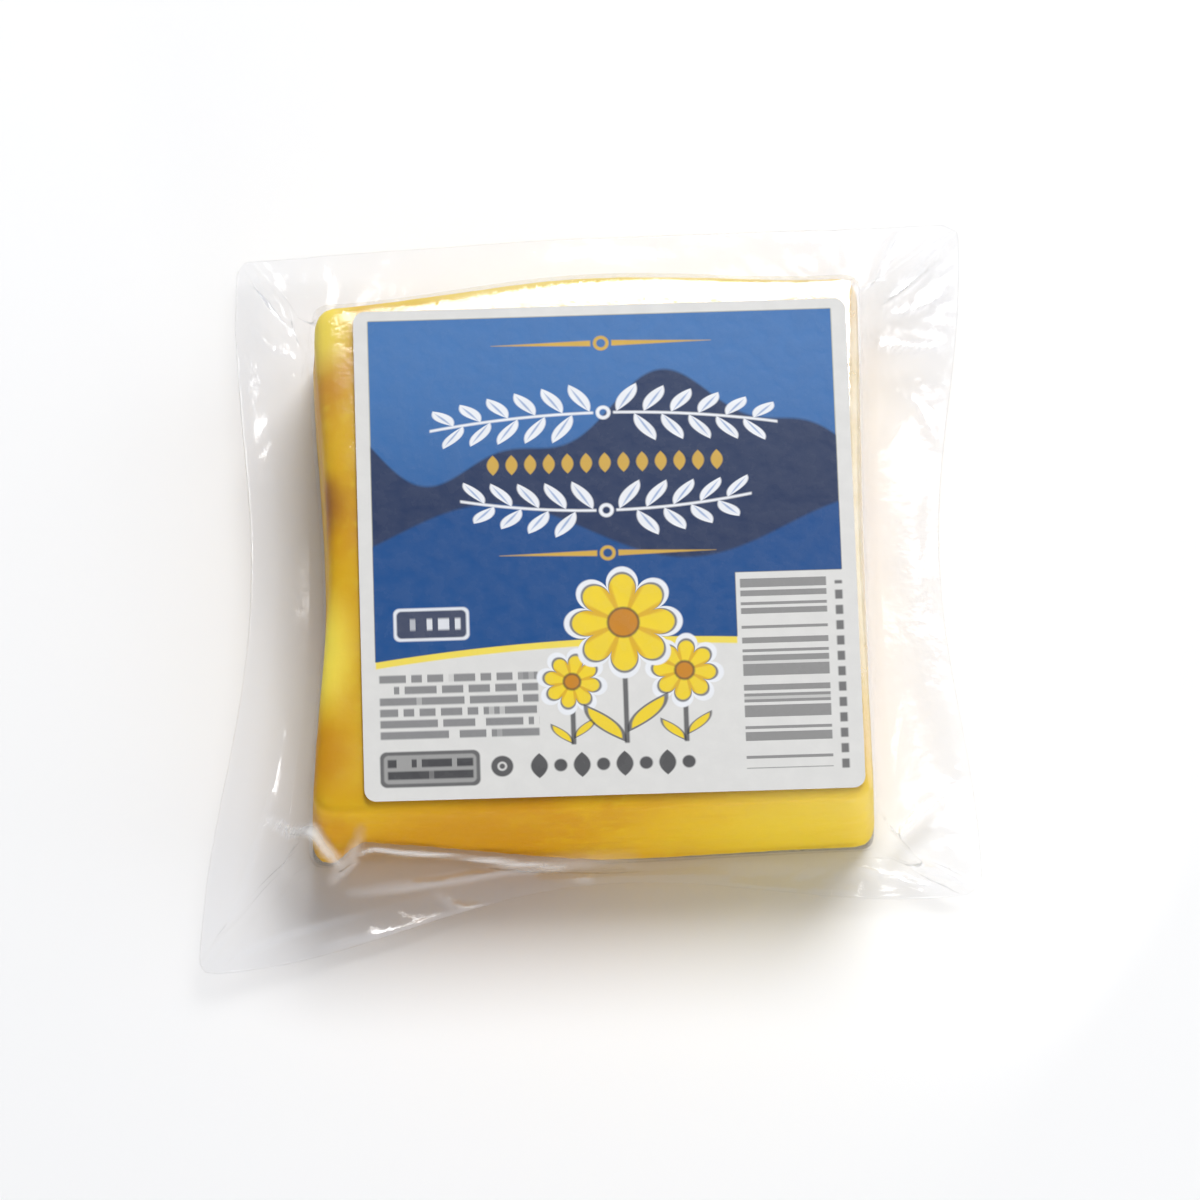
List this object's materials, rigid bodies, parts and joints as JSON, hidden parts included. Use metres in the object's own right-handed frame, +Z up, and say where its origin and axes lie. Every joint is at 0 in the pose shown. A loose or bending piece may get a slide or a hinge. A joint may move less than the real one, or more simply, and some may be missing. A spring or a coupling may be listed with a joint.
{
  "type": "sealed block of cheddar cheese",
  "caption": "Square-cut block of yellow cheddar sealed in a clear film pouch with a wavy flat border and a printed label on its upper face.",
  "frame": {"origin": "on the surface the pack lies on, under the centre of the pouch's whole outline", "axes": "+Z up through the label, +X to the right along the label's lower edge, +Y to the back, towards the label's upper edge"},
  "size_m": [0.1272, 0.1242, 0.0264],
  "materials": {
    "cheese": "waxy yellow cheddar seen through clear film",
    "film": "thin clear glossy pouch film with creases and heat-sealed borders",
    "label": "smooth coated label, white with a printed blue field"
  },
  "bodies": {
    "root": {"pouch": "cheese", "label": "label"}
  },
  "joints": []
}
